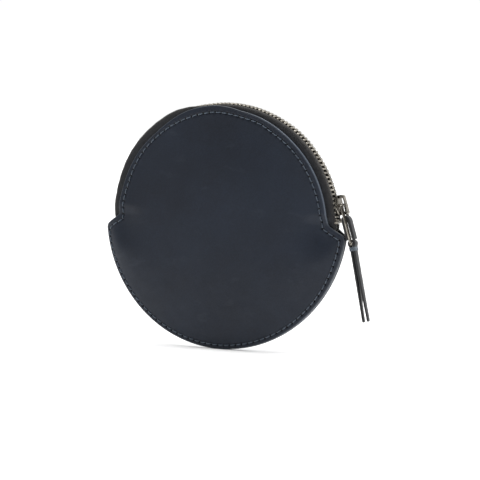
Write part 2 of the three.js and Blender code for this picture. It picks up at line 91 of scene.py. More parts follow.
TOOTH_TOP = 56.4
TOOTH_LOW = 54.5
TOOTH_PITCH_DEG = 2.0625
TEETH_START_DEG = 7.6
TEETH_PER_ROW = 80
TOOTH_ROOT = 2.72
# How much further the heads reach, into the other row, away from the slider's two ends.
HEAD_REACH = 0.6
HEAD_RISE_DEG = (18, 21, 158, 161)
TAPE_ROLL = 2.3
TOP_STOP_DEG = 5.25
BOTTOM_STOP_DEG = 174.5

SLIDER_DEG = 12.5
SLIDER_LENGTH = 9.2
TOP_PLATE = (56.75, 57.65)
BOTTOM_PLATE = (53.1, 54.0)
PIVOT_RADIUS_FROM_ZIP = 58.8
PLATE_EDGE = 0.24
PLATE_CROWN = 0.05
WEB_SINK_BELOW = 0.3
WEB_SINK_ABOVE = 0.25
CAP_LENGTH = 9.0
CAP_WIDTH = 2.4
CAP_WALL = 0.72
CAP_FOOT = 1.5
CAP_CORNER = 1.1
CAP_INNER_CORNER = 0.7
CAP_TOP_BEHIND = 60.15
CAP_TOP_AHEAD = 61.15

PULL_DEG = 18.0
PULL_LENGTH = 18.6
PULL_THICK = 1.3
STRAP_DEG = 13.0
STRAP_LENGTH = 35.0
STRIP_THICK = 1.05
STRIP_WIDTH = 3.3
TAB_WIDTH = 3.5
TAB_THICK = 1.4
FRAME_WIDTH = 5.0
FRAME_WINDOW = 3.6
CROSS_BAR_Z = -7.65
CROSS_BAR_REACH = 2.0
STRAP_TAPER = 0.28
TACK_TURNS = 5
TACK_PITCH = 0.34
TACK_RADIUS = 0.18


# ---- Small helpers ----


def smoothstep(value, low, high):
    t = np.clip((np.asarray(value, float) - low) / (high - low), 0, 1)
    return t * t * (3 - 2 * t)


def window(value, rise_from, rise_to, fall_from, fall_to):
    return smoothstep(value, rise_from, rise_to) * (1 - smoothstep(value, fall_from, fall_to))


def lerp(a, b, t):
    return a + (b - a) * t


def unit(vectors):
    return vectors / np.linalg.norm(vectors, axis=-1, keepdims=True)


def polar(radius, deg, centre=(0.0, 0.0)):
    """Points at an angle about a centre, as [x, z]."""
    a = np.radians(deg)
    return np.stack([centre[0] + radius * np.cos(a), centre[1] + radius * np.sin(a)], -1)


def distances(line):
    """How far along a line of points each of them is."""
    return np.concatenate([[0], np.cumsum(np.linalg.norm(np.diff(line, axis=0), axis=1))])


def points_at(at, length, line):
    """Points of a flat line at given distances, from the distances of its own points."""
    return np.stack([np.interp(at, length, line[:, k]) for k in (0, 1)], -1)


def to_row(points):
    return (np.asarray(points, float) + [0, MIDDLE_Y, 0]) * 0.001


def new_object(name, data):
    obj = bpy.data.objects.new(name, data)
    bpy.context.scene.collection.objects.link(obj)
    return obj


def make_mesh(name, points, faces, materials, indices=None):
    """A smooth-shaded object from millimetre points and a list of faces."""
    mesh = bpy.data.meshes.new(name)
    mesh.from_pydata(to_row(points).tolist(), [], [tuple(int(i) for i in f) for f in faces])
    for material in materials:
        mesh.materials.append(material)
    if indices is not None:
        mesh.polygons.foreach_set("material_index", np.asarray(indices, np.int32))
    mesh.polygons.foreach_set("use_smooth", np.ones(len(faces), bool))
    mesh.update()
    return new_object(name, mesh)


def tube_faces(rows, columns, start=0, ring=False):
    """Quads over rows of closed loops of points."""
    last = rows if ring else rows - 1
    i = np.arange(last)[:, None]
    j = np.arange(columns)[None, :]
    a = i * columns + j
    b = i * columns + (j + 1) % columns
    c = ((i + 1) % rows) * columns + (j + 1) % columns
    d = ((i + 1) % rows) * columns + j
    return (np.stack([a, b, c, d], -1).reshape(-1, 4) + start).tolist()


def loft(loops, start=0, ring=False):
    """Points and faces of a closed body through loops of points: a ring, or capped at both ends."""
    loops = np.asarray(loops, float)
    rows, columns = loops.shape[:2]
    centre = loops.mean((0, 1))
    faces = tube_faces(rows, columns, start, ring)
    if not ring:
        faces.append([start + j for j in range(columns)][::-1])
        faces.append([start + (rows - 1) * columns + j for j in range(columns)])
    points = loops.reshape(-1, 3)
    if body_volume(points - centre, faces, start) < 0:
        faces = [f[::-1] for f in faces]
    return points, faces


def body_volume(points, faces, start):
    total = 0.0
    for face in faces:
        p = points[np.array(face) - start]
        for k in range(1, len(face) - 1):
            total += np.dot(p[0], np.cross(p[k], p[k + 1]))
    return total


class Bodies:
    """Gathers several closed bodies into one mesh."""

    def __init__(self):
        self.points = []
        self.faces = []
        self.count = 0

    def add(self, loops, ring=False):
        points, faces = loft(loops, self.count, ring)
        self.points.append(points)
        self.faces.extend(faces)
        self.count += len(points)

    def object(self, name, material):
        return make_mesh(name, np.concatenate(self.points), self.faces, [material])


def stand_in(obj, slot, *nodes):
    """Hides the CAD nodes that the piece stands for. The slot is not used."""
    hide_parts(*nodes)
    return obj


def sharpen(obj, degrees):
    """Keeps edges steeper than this crisp in the shading."""
    obj.data.set_sharp_from_angle(angle=math.radians(degrees))
    return obj


def bevel(obj, width_mm, segments=2, degrees=35):
    modifier = obj.modifiers.new("Soft edges", "BEVEL")
    modifier.width = width_mm * 0.001
    modifier.segments = segments
    modifier.limit_method = "ANGLE"
    modifier.angle_limit = math.radians(degrees)
    modifier.harden_normals = True
    return obj


# ---- Materials ----


def colour(hex_code):
    """A linear colour from an sRGB code such as 2b3038."""
    channels = [int(hex_code[k:k + 2], 16) / 255 for k in (0, 2, 4)]
    return (*[c / 12.92 if c <= 0.04045 else ((c + 0.055) / 1.055) ** 2.4 for c in channels], 1.0)


class Look:
    """One procedural material. Its coordinates are metres in the piece's own space."""

    def __init__(self, name, **constants):
        self.material = bpy.data.materials.new(name)
        self.material.use_nodes = True
        self.tree = self.material.node_tree
        self.shader = self.tree.nodes["Principled BSDF"]
        self.place = self.add("TexCoord").outputs["Object"]
        for socket, value in constants.items():
            self.shader.inputs[socket.replace("_", " ")].default_value = value

    def add(self, kind, inputs=None, **settings):
        node = self.tree.nodes.new("ShaderNode" + kind)
        for key, value in settings.items():
            setattr(node, key, value)
        for key, value in (inputs or {}).items():
            self.put(node.inputs[key], value)
        return node

    def put(self, socket, value):
        if isinstance(value, bpy.types.NodeSocket):
            self.tree.links.new(value, socket)
        else:
            socket.default_value = value

    def set(self, name, value):
        self.put(self.shader.inputs[name], value)

    def math(self, operation, a, b=0.5, c=0.5):
        return self.add("Math", {0: a, 1: b, 2: c}, operation=operation).outputs[0]

    def noise(self, per_metre, detail=3.0, roughness=0.55, place=None):
        inputs = {"Vector": place or self.place, "Scale": per_metre, "Detail": detail,
                  "Roughness": roughness}
        return self.add("TexNoise", inputs).outputs["Fac"]

    def cells(self, per_metre, feature="F1"):
        inputs = {"Vector": self.place, "Scale": per_metre}
        return self.add("TexVoronoi", inputs, feature=feature).outputs["Distance"]

    def wave(self, value, period):
        return self.math("SINE", self.math("MULTIPLY", value, 2 * math.pi / period))

    def stretched(self, scale):
        node = self.add("Mapping", {"Vector": self.place, "Scale": scale})
        return node.outputs[0]

    def span(self, value, from_low, from_high, to_low=0.0, to_high=1.0):
        inputs = {"Value": value, "From Min": from_low, "From Max": from_high,
                  "To Min": to_low, "To Max": to_high}
        return self.add("MapRange", inputs).outputs[0]

    def blend(self, factor, a, b):
        node = self.add("Mix", {0: factor, 6: a, 7: b}, data_type="RGBA")
        return node.outputs[2]

    def bump(self, height, distance_mm, strength):
        inputs = {"Height": height, "Distance": distance_mm * 0.001, "Strength": strength}
        return self.add("Bump", inputs).outputs[0]

    def mask(self, name):
        """A value from 0 to 1 stored on the piece's own points."""
        return self.add("Attribute", attribute_name=name).outputs["Fac"]

    def uv(self, name):
        node = self.add("UVMap", uv_map=name)
        split = self.add("SeparateXYZ", {0: node.outputs[0]})
        return split.outputs[0], split.outputs[1]


def leather_look(name, dark, light, roughness, grain=1.0, shine=0.26, seamed=False):
    """Smooth dyed calf: soft mottling, pebbled grain with pores, faint rubbed patches; when seamed, a
    painted highlight along the upper right edge and painted shade in the stitch holes.
    """
    look = Look(name, Specular_IOR_Level=shine, Coat_Weight=0.02, Coat_Roughness=0.35)
    clouds = look.span(look.noise(32, 3, 0.6), 0.3, 0.7)
    speckle = look.span(look.noise(1500, 2), 0.35, 0.65)
    rubbed = look.span(look.noise(70, 4, 0.65, look.stretched((1, 1, 2.2))), 0.6, 0.78)
    base = look.blend(look.math("MULTIPLY_ADD", clouds, 0.65, look.math("MULTIPLY", speckle, 0.35)),
                      colour(dark), colour(light))
    base = look.blend(look.math("MULTIPLY", rubbed, 0.18), base, colour("3c424c"))
    if seamed:
        # Painted highlight: a paler band along the upper right edge, where the light catches it.
        base = look.blend(look.math("MULTIPLY", look.mask("painted_edge_highlight"), 0.75), base, colour("58606c"))
        # Painted shade: near black in each stitch hole.
        base = look.blend(look.mask("painted_pit_shade"), base, colour("050608"))
    look.set("Base Color", base)
    look.set("Roughness", look.math("ADD", look.span(look.noise(240, 3), 0.3, 0.7, roughness - 0.06,
                                                     roughness + 0.06),
                                    look.math("MULTIPLY", rubbed, -0.05)))
    pebbles = look.cells(1250, "SMOOTH_F1")
    pores = look.span(look.cells(820), 0.0, 0.22)
    fine = look.noise(5200, 2)
    height = look.math("MULTIPLY_ADD", pebbles, 0.8, look.math("MULTIPLY", fine, 0.25))
    height = look.math("MULTIPLY_ADD", pores, 0.35, height)
    look.set("Normal", look.bump(height, 0.035 * grain, 0.8))
    return look.material


def edge_paint_look(name, dark, light):
    """Burnished, painted cut edge: smoother and a little lighter than the face, with a painted highlight
    near the upper right.
    """
    look = Look(name, Specular_IOR_Level=0.5)
    patch = look.span(look.noise(420, 3), 0.35, 0.7)
    base = look.blend(patch, colour(dark), colour(light))
    # Painted highlight along the upper right edge, where the light catches it.
    look.set("Base Color", look.blend(look.mask("painted_edge_highlight"), base, colour("58606c")))
    look.set("Roughness", look.span(look.noise(900, 2), 0.3, 0.7, 0.3, 0.46))
    look.set("Normal", look.bump(look.noise(1600, 3, 0.6), 0.05, 0.6))
    return look.material


def flesh_look():
    """The rough inner side of the leather."""
    look = Look("leather_flesh_side", Specular_IOR_Level=0.2, Sheen_Weight=0.15)
    fibres = look.noise(900, 5, 0.7, look.stretched((1, 1, 0.4)))
    look.set("Base Color", look.blend(fibres, colour("1e2229"), colour("3a3f47")))
    look.set("Roughness", look.span(fibres, 0.3, 0.7, 0.82, 0.95))
    look.set("Normal", look.bump(fibres, 0.12, 0.8))
    return look.material


def thread_look(name, dark, light):
    """Waxed, bonded thread: fine fibres along it and a soft shine."""
    look = Look(name, Specular_IOR_Level=0.4, Sheen_Weight=0.2)
    fibres = look.noise(4200, 3, 0.6)
    look.set("Base Color", look.blend(look.span(fibres, 0.3, 0.7), colour(dark), colour(light)))
    look.set("Roughness", look.span(look.noise(800, 2), 0.3, 0.7, 0.45, 0.65))
    look.set("Normal", look.bump(fibres, 0.04, 0.7))
    return look.material


def tape_look():
    """Herringbone-woven polyester tape. Its UV map is millimetres along and across."""
    look = Look("zip_tape_weave", Specular_IOR_Level=0.3, Sheen_Weight=0.25, Sheen_Roughness=0.4)
    along, across = look.uv("weave")
    chevron = look.math("PINGPONG", across, 1.1)
    slant = look.math("MULTIPLY_ADD", chevron, 0.9, along)
    weave = look.math("MULTIPLY_ADD", look.wave(across, 0.28), 0.28, look.wave(slant, 0.52))
    height = look.span(weave, -1.28, 1.28)
    slub = look.span(look.noise(380, 3), 0.3, 0.7)
    yarn = look.blend(slub, colour("23252a"), colour("333539"))
    # Painted shade: the yarn is darker under the leather's edge and lighter towards the bead and teeth.
    wear_and_painted_shade = look.span(across, 5.6, 8.2)
    yarn = look.blend(wear_and_painted_shade, yarn, look.blend(slub, colour("35322f"), colour("4a4642")))
    # Painted shade: darker colour in the weave's valleys.
    look.set("Base Color", look.blend(height, colour("0e0e10"), yarn))
    look.set("Roughness", look.span(height, 0, 1, 0.92, 0.72))
    look.set("Normal", look.bump(height, 0.11, 0.9))
    return look.material


def lining_look():
    """Fine cotton twill, its UV map in millimetres."""
    look = Look("lining_twill", Specular_IOR_Level=0.25, Sheen_Weight=0.2, Sheen_Roughness=0.5)
    along, across = look.uv("weave")
    wale = look.wave(look.math("ADD", along, across), 0.62)
    weft = look.wave(look.math("SUBTRACT", along, across), 0.36)
    height = look.span(look.math("MULTIPLY_ADD", weft, 0.35, wale), -1.35, 1.35)
    slub = look.span(look.noise(260, 4, 0.6), 0.3, 0.7)
    yarn = look.blend(slub, colour("23272e"), colour("383e48"))
    # Painted shade: darker colour in the twill's valleys.
    look.set("Base Color", look.blend(height, colour("14161a"), yarn))
    look.set("Roughness", look.span(height, 0, 1, 0.95, 0.8))
    look.set("Normal", look.bump(height, 0.09, 0.8))
    return look.material


def metal_look(name, dark, light, roughness, scratch=1.0):
    """Antique nickel: uneven plating, fine brushing, rubbed highlights."""
    look = Look(name, Metallic=1.0)
    plating = look.span(look.noise(260, 4, 0.6), 0.32, 0.68)
    look.set("Base Color", look.blend(plating, colour(dark), colour(light)))
    brushed = look.noise(2600, 3, 0.6, look.stretched((1, 0.12, 1)))
    wear_and_painted_shade = look.noise(700, 3, 0.6)
    both = look.math("MULTIPLY_ADD", brushed, 0.5, look.math("MULTIPLY", wear_and_painted_shade, 0.5))
    look.set("Roughness", look.span(both, 0.3, 0.7, roughness - 0.09, roughness + 0.12))
    height = look.math("MULTIPLY_ADD", brushed, 0.6, look.math("MULTIPLY", wear_and_painted_shade, 0.7))
    look.set("Normal", look.bump(height, 0.018 * scratch, 0.7))
    return look.material


def floor_look():
    look = Look("studio_floor", Specular_IOR_Level=0.1)
    mottle = look.span(look.noise(18, 2), 0.3, 0.7)
    depth = look.add("SeparateXYZ", {0: look.place}).outputs[1]
    near = look.span(depth, -1.1, -0.55)
    pale = look.blend(mottle, colour("f6f6f6"), colour("fafafa"))
    look.set("Base Color", look.blend(near, colour("3c3c3c"), pale))
    look.set("Roughness", look.span(look.noise(60, 2), 0.3, 0.7, 0.85, 0.95))
    return look.material


LEATHER = leather_look("navy_leather", "151a24", "1d2532", 0.5, seamed=True)
EDGE = edge_paint_look("edge_paint", "232a33", "353d48")
FLESH = flesh_look()
STRAP = leather_look("strap_leather", "141518", "1f2024", 0.4, grain=0.7, shine=0.42)
STRAP_EDGE = edge_paint_look("strap_edge_paint", "0f1012", "1a1a1d")
THREAD = thread_look("navy_thread", "323d4a", "525e6b")
TACK_THREAD = thread_look("tack_thread", "2f3943", "68737d")
TAPE = tape_look()
LINING = lining_look()
NICKEL = metal_look("antique_nickel", "5f5b54", "a29d94", 0.2)
TEETH = metal_look("tooth_nickel", "66625b", "aea99f", 0.26, scratch=0.6)


# ---- Leather walls ----


def half_depth(x, z):
    """Distance of the leather's outer face from the middle plane, before its seam and unevenness."""
    radius = np.hypot(x, z)
    from_bottom = np.degrees(np.arctan2(np.abs(x), -z))
    run = lerp(28.0, 7.2, smoothstep(from_bottom, 30, 84))
    rise = 1 - (1 - np.clip((RIM_RADIUS - radius) / run, 0, 1)) ** 2
    bulge = 1 - smoothstep(radius, 15, 46)
    plain = HALF_DEPTH_AT_RIM + (HALF_DEPTH_AT_ZIP - HALF_DEPTH_AT_RIM) * rise + MIDDLE_BULGE * bulge
    pinch = smoothstep(np.abs(x), 38, 51) * window(-z, -3.5, 2, 5, 20)
    return plain - SHOULDER_PINCH * pinch * rise


def settle(x, z):
    """Gentle unevenness of a used wall, never proud of the mount's flat."""
    waves = np.sin(x * 0.09 + z * 0.05 + 1.3) + 0.7 * np.sin(z * 0.13 - x * 0.04 + 0.4)
    return 0.07 * (waves - 1.7) * smoothstep(np.hypot(x, z), 10, 30) * (
        1 - smoothstep(np.hypot(x, z), 44, 52))


def edge_radius(theta):
    """The upper edge stands proud of its circle from right of the top round to the left."""
    left = 1.1 * window(theta, 78, 100, 140, 168)
    top = 1.5 * window(theta, 80, 97, 108, 132)
    right = 0.8 * window(theta, 45, 80, 84, 96)
    return EDGE_RADIUS + left + top + right


def seam_radius(theta):
    """The seam follows the edge's rise, and lies further from the edge on the right."""
    return SEAM_RADIUS + 1.4 * window(theta, 77, 98, 138, 164) - 0.75 * window(theta, -9, -4, 60, 70)


def bezier(a, b, c, count):
    a, b, c = (np.asarray(p, float) for p in (a, b, c))
    t = np.linspace(0, 1, count)[:, None]
    return (1 - t) ** 2 * a + 2 * t * (1 - t) * b + t ** 2 * c


# Points along the zip's arc, the inner corner, the shoulder, its tip and the rim.
COUNTS = (250, 9, 22, 10, 290)


def right_side(radius_at, corner, tip, rounding, tip_rounding, rim_radius):
    """One side of an outline from the top of the zip to the foot, corner by corner."""
    along = unit(tip - corner)
    rise = corner[1] + rounding - ZIP_CENTRE[1]
    arc_stop = math.degrees(math.asin(rise / np.hypot(*(corner - ZIP_CENTRE))))
    rim_angle = math.degrees(math.atan2(tip[1], tip[0]))
    rim_start = rim_angle - math.degrees(tip_rounding / rim_radius)
    upper = lambda theta: polar(radius_at(theta), theta, ZIP_CENTRE)
    first = upper(np.linspace(90, arc_stop, COUNTS[0], endpoint=False))
    start = upper(np.array([arc_stop]))[0]
    inner = bezier(start, corner, corner + along * rounding, COUNTS[1])[:-1]
    line = np.linspace(corner + along * rounding, tip - along * tip_rounding, COUNTS[2], endpoint=False)
    rim = polar(rim_radius, np.linspace(rim_start, -90, COUNTS[4]))
    outer = bezier(tip - along * tip_rounding, tip, rim[0], COUNTS[3])[:-1]
    return np.concatenate([first, inner, line, outer, rim])


def closed_outline(radius_at, *shape):
    """Clockwise from the top, as seen from the front."""
    right = right_side(radius_at, *shape)
    left = right_side(lambda theta: radius_at(180 - theta), *shape) * [-1, 1]
    return np.concatenate([right, left[-2:0:-1]])


OUTLINE = closed_outline(edge_radius, INNER_CORNER, SHOULDER_TIP, INNER_ROUNDING, TIP_ROUNDING, RIM_RADIUS)
SEAM = closed_outline(seam_radius, SEAM_INNER_CORNER, SEAM_TIP, 0.5, 0.5, SEAM_RIM_RADIUS)
INWARD = unit(SEAM - OUTLINE)


def stitch_holes():
    """Holes at an even pitch along the seam, one of them right at the right shoulder's corner."""
    loop = np.concatenate([SEAM, SEAM[:1]])
    length = distances(loop)
    corner = length[np.argmin(np.linalg.norm(SEAM - SEAM_INNER_CORNER, axis=1))]
    count = round(length[-1] / STITCH_PITCH)
    at = (corner + np.arange(count) * length[-1] / count) % length[-1]
    at.sort()
    return points_at(at, length, loop)


HOLES = stitch_holes()


def nearest(points, targets):
    best = np.empty(len(points))
    for k in range(0, len(points), 4000):
        gap = points[k:k + 4000, None] - targets[None]
        best[k:k + 4000] = np.sqrt((gap ** 2).sum(-1)).min(1)
    return best


def outer_face(x, z):
    """The outer face with its seam pulled in: a shallow groove and a sunken dimple at each hole."""
    points = np.stack([x, z], -1).reshape(-1, 2)
    from_seam, from_hole = nearest(points, SEAM[::2]), nearest(points, HOLES)
    groove = 0.16 * np.exp(-(from_seam / 0.5) ** 2)
    pits = 0.7 * np.exp(-(from_hole / PIT_WIDTH) ** 2)
    shoulder = 0.1 * np.exp(-((from_hole - STITCH_PITCH / 2) / 0.6) ** 2)
    drop = groove + pits - 0.4 * shoulder * np.exp(-(from_seam / 1.2) ** 2)
    return half_depth(x, z) + settle(x, z) - drop.reshape(np.shape(x))


def leather_wall(name, side):
    """One whole wall: outer face, rounded painted edge, inner face."""
    width = np.linalg.norm(SEAM - OUTLINE, axis=1)[:, None]
    rings = []
    depths = []
    kinds = []

    def ring(points, depth, kind):
        rings.append(points)
        depths.append(np.full(len(points), float(depth)))
        kinds.append(kind)

    quarter = np.radians([0, 25, 50, 72, 90])
    shrink = [52, 44, 35, 26, 18, 12, 8, 5.2, 3.4, 2.2, 1.4, 0.95, 0.65, 0.4, 0.2]
    for inset in shrink:
        ring(PANEL_CENTRE + (SEAM - PANEL_CENTRE) * (1 - inset / WALL_REACH), 0, 0)
    ring(SEAM, 0, 0)
    for share in (0.91, 0.82, 0.72, 0.6, 0.46, 0.32):
        ring(OUTLINE + INWARD * width * share, 0, 0)
    for a in quarter:
        inset = EDGE_ROUNDING * (1 - np.sin(a))
        ring(OUTLINE + INWARD * inset, EDGE_ROUNDING * (1 - np.cos(a)), 0 if a < 0.3 else 1)
    for a in quarter[::-1]:
        inset = EDGE_ROUNDING * (1 - np.sin(a))
        ring(OUTLINE + INWARD * inset, LEATHER_THICK - EDGE_ROUNDING * (1 - np.cos(a)), 1)
    for share in (0.6, 1.0):
        ring(OUTLINE + INWARD * width * share, LEATHER_THICK, 2)
    for inset in (3, 8, 18, 32, 48):
        ring(PANEL_CENTRE + (SEAM - PANEL_CENTRE) * (1 - inset / WALL_REACH), LEATHER_THICK, 2)

    flat = np.array(rings)
    depth = np.array(depths)
    face = outer_face(flat[..., 0], flat[..., 1])
    plain = half_depth(flat[..., 0], flat[..., 1])
    is_outer = np.array([kind == 0 for kind in kinds])[:, None] & (depth < 0.01)
    # Outside the rim's seam the walls are pressed together, RIM_GAP from the middle plane.
    outside = smoothstep(np.hypot(flat[..., 0], flat[..., 1]), 58.3, 58.8)
    tight = outside * smoothstep(-flat[..., 1], 9, 13) * (depth > LEATHER_THICK / 2)
    pressed = RIM_GAP + LEATHER_THICK - depth
    y = side * lerp(np.where(is_outer, face, plain) - depth, pressed, tight)
    points = np.stack([flat[..., 0], y, flat[..., 1]], -1)
    rows, columns = depth.shape
    body = np.concatenate([points.reshape(-1, 3), [points[0].mean(0), points[-1].mean(0)]])
    faces = tube_faces(rows, columns)
    indices = np.repeat([max(pair) for pair in zip(kinds, kinds[1:])], columns).tolist()
    top, under = len(body) - 2, len(body) - 1
    for j in range(columns):
        k = (j + 1) % columns
        faces.append([top, k, j])
        faces.append([under, (rows - 1) * columns + j, (rows - 1) * columns + k])
        indices += [0, 2]
    if side > 0:
        faces = [f[::-1] for f in faces]
    obj = make_mesh(name, body, faces, [LEATHER, EDGE, FLESH], indices)
    spots = flat.reshape(-1, 2)
    theta = np.degrees(np.arctan2(spots[:, 1] - ZIP_CENTRE[1], spots[:, 0]))
    from_edge = nearest(spots, OUTLINE[::2])
    # Painted highlight: a pale band close to the edge, on the upper right only, where the light catches it.
    painted_edge_highlight = window(theta, 2, 9, 64, 84) * np.exp(-(from_edge / 0.42) ** 2)
    # Painted shade in the stitch holes, on the outer face only.
    painted_pit_shade = np.clip(1.5 * np.exp(-(nearest(spots, HOLES) / PIT_WIDTH) ** 2), 0, 1) * is_outer.ravel()
    for mask, values in (("painted_edge_highlight", painted_edge_highlight), ("painted_pit_shade", painted_pit_shade)):
        layer = obj.data.attributes.new(mask, "FLOAT", "POINT")
        layer.data.foreach_set("value", np.append(values, [0, 0]).astype(np.float32))
    return obj


def facing_out(obj, outward):
    """Turns the mesh over if the face whose centre lies furthest along outward looks inwards."""
    direction = Vector(outward)
    best = max(obj.data.polygons, key=lambda p: p.center.dot(direction))
    if best.normal.dot(direction) < 0:
        obj.data.flip_normals()
    return obj


leather_front = facing_out(leather_wall("leather_front", -1), (0, -1, 0))
leather_back = facing_out(leather_wall("leather_back", 1), (0, 1, 0))
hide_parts("front_panel_lower", "front_panel_upper")
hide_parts("back_panel")


def wall_normal(x, z, side):
    step = 0.05
    slope_x = (half_depth(x + step, z) - half_depth(x - step, z)) / (2 * step)
    slope_z = (half_depth(x, z + step) - half_depth(x, z - step)) / (2 * step)
    return unit(np.stack([-slope_x, side * np.ones_like(x), -slope_z], -1))


def stitches(name, side):
    """Two-ply thread between neighbouring holes, diving into the leather at each end."""
    bodies = Bodies()
    turns = np.radians(np.arange(0, 360, 36))
    share = np.concatenate([[0.12, 0.16], np.linspace(0.2, 0.8, 9), [0.84, 0.88]])
    for k in range(len(HOLES)):
        a, b = HOLES[k], HOLES[(k + 1) % len(HOLES)]
        slant = np.array([-(b - a)[1], (b - a)[0]]) * 0.03
        line = (a - slant) + (b - a + 2 * slant) * share[:, None]
        x, z = line[:, 0], line[:, 1]
        normal = wall_normal(x, z, side)
        lift = 0.12 - 1.9 * np.abs(2 * share - 1) ** 4
        spine = np.stack([x, side * half_depth(x, z), z], -1) + normal * lift[:, None]
        forward = unit(np.gradient(spine, axis=0))
        across = unit(np.cross(forward, normal))
        upward = np.cross(across, forward)
        twist = np.cos(2 * turns[None] - 2 * math.pi * 2.6 * share[:, None] + k)
        radius = THREAD_RADIUS * (1 + 0.13 * twist)
        ring = (across[:, None] * (np.cos(turns)[None] * radius)[..., None]
                + upward[:, None] * (np.sin(turns)[None] * radius)[..., None])
        bodies.add(spine[:, None] + ring)
    return bodies.object(name, THREAD)


stitches_front = stitches("stitches_front", -1)
stitches_back = stitches("stitches_back", 1)
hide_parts("rim_thread_front", "zip_thread_front")
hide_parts("rim_thread_back", "zip_thread_back")


# ---- Lining ----


def lining_outline(deg):
    """Reach of the lining from the panels' centre: zip arc above, rim arc below."""
    a = np.radians(deg)
    direction = np.stack([np.cos(a), np.sin(a)], -1)

    def reach(centre, radius):
        offset = PANEL_CENTRE - centre
        b = direction @ offset
        return -b + np.sqrt(b * b - offset @ offset + radius * radius)

    return lerp(reach(np.zeros(2), 53.5), reach(ZIP_CENTRE, 51.2), smoothstep(np.sin(a), -0.1, 0.02))


def weave_uv(obj, coordinates):
    """A UV map in millimetres, from one pair for each vertex."""
    layer = obj.data.uv_layers.new(name="weave")
    loops = np.empty(len(obj.data.loops), np.int32)
    obj.data.loops.foreach_get("vertex_index", loops)
    layer.data.foreach_set("uv", np.asarray(coordinates, np.float32)[loops].ravel())
    return obj


def lining(name, side):
    """A thin twill lining that follows the wall, slightly slack between its seams."""
    columns = 180
    deg = np.linspace(0, 360, columns, endpoint=False)
    reach = lining_outline(deg)
    direction = polar(1.0, deg)
    rows = []
    shares = [0.02, 0.12, 0.25, 0.38, 0.5, 0.6, 0.69, 0.77, 0.84, 0.9, 0.95, 0.985, 1.0]
    for inset, order in ((LINING_INSET, shares), (LINING_INSET + LINING_THICK, shares[::-1])):
        for share in order:
            flat = PANEL_CENTRE + direction * (reach * share)[:, None]
            x, z = flat[:, 0], flat[:, 1]
            slack = 0.22 * np.sin(np.radians(deg) * 9 + 4 * share + side) * np.sin(math.pi * share)
            slack += 0.12 * np.sin(np.radians(deg) * 23 + side) * smoothstep(share, 0.7, 1.0)
            y = side * (half_depth(x, z) - inset - 0.25 - np.abs(slack))
            rows.append(np.stack([x, y, z], -1))
    points, faces = loft(rows)
    obj = make_mesh(name, points, faces, [LINING])
    weave_uv(obj, points[:, [0, 2]])
    nodes = ("front_lining_lower", "front_lining_upper") if side < 0 else ("back_lining",)
    return stand_in(obj, "lining", *nodes)


lining_front = lining("lining_front", -1)
lining_back = lining("lining_back", 1)


# ---- Zip ----


def zip_points(radius, theta, y):
    flat = polar(radius, theta, ZIP_CENTRE)
    return np.stack([flat[..., 0], y, flat[..., 1]], -1)


def crown_dip(theta):
    """The zip sags a little between its top and the slider's side."""
    return 0.35 * window(theta, 50, 66, 98, 108)


def tape(name, side):
    """A woven tape: a leg behind the leather, then a roll over to the bead under the teeth.

    On the left the front one stands up in a higher roll.
    """
    spine = np.array([(48.0, 3.98), (50.0, 3.98), (52.0, 3.98), (53.4, 3.97), (54.4, 3.92),
                      (54.9, 3.74), (55.14, 3.42), (55.22, 3.0), (55.24, 2.5), (55.22, 2.0),
                      (55.18, 1.6), (55.12, 1.2), (55.06, 0.88), (55.0, 0.62)])
    forward = unit(np.gradient(spine, axis=0))
    normal = np.stack([forward[:, 1], -forward[:, 0]], -1)
    across = distances(spine)
    section = np.concatenate([spine + normal * 0.2, (spine - normal * 0.2)[::-1]])
    across = np.concatenate([across, across[::-1]])
    theta = np.linspace(-3.6, 183.6, 260)
    loops = []
    marks = []
    for deg in theta:
        from_end = min(deg, 180 - deg)
        end = 1 - smoothstep(from_end, -4.0, 3.2)
        radius = section[:, 0] - 2.2 * end - 0.5 * end * (section[:, 1] > 3) - crown_dip(deg)
        if side < 0:
            rolled = window(section[:, 1], 2.4, 3.5, 6, 7)
            radius = radius + TAPE_ROLL * window(deg, 98, 120, 138, 178) * rolled
        # Over the top, the leg lies close against the leather.
        leg = 0.26 * window(deg, 30, 60, 120, 150) * (1 - smoothstep(section[:, 0], 51.2, 53.2))
        narrow = 0.4 * (1 - smoothstep(from_end, 2.5, 8.5)) * (1 - end)
        y = (section[:, 1] + leg) * (1 - 0.66 * end) * (1 - narrow)
        pull = 0.05 * np.sin(np.radians(deg) * 60) * window(section[:, 0], 52, 54, 55.3, 55.5)
        loops.append(zip_points(radius + pull, deg, side * y))
        marks.append(np.stack([np.full(len(across), math.radians(deg) * 55), across], -1))
    points, faces = loft(loops)
    obj = make_mesh(name, points, faces, [TAPE])
    weave_uv(obj, np.concatenate(marks))
    sharpen(obj, 60)
    return stand_in(obj, "zip_tape", "zip_tape_front" if side < 0 else "zip_tape_back")


tape_front = tape("tape_front", -1)
tape_back = tape("tape_back", 1)


def rounded_box(half_u, low, high, corner):
    """Eight points of a chamfered rectangle: along the zip, and in radius."""
    c = min(corner, half_u * 0.8, (high - low) * 0.4)
    return np.array([
        (-half_u + c, low), (half_u - c, low), (half_u, low + c), (half_u, high - c),
        (half_u - c, high), (-half_u + c, high), (-half_u, high - c), (-half_u, low + c)])


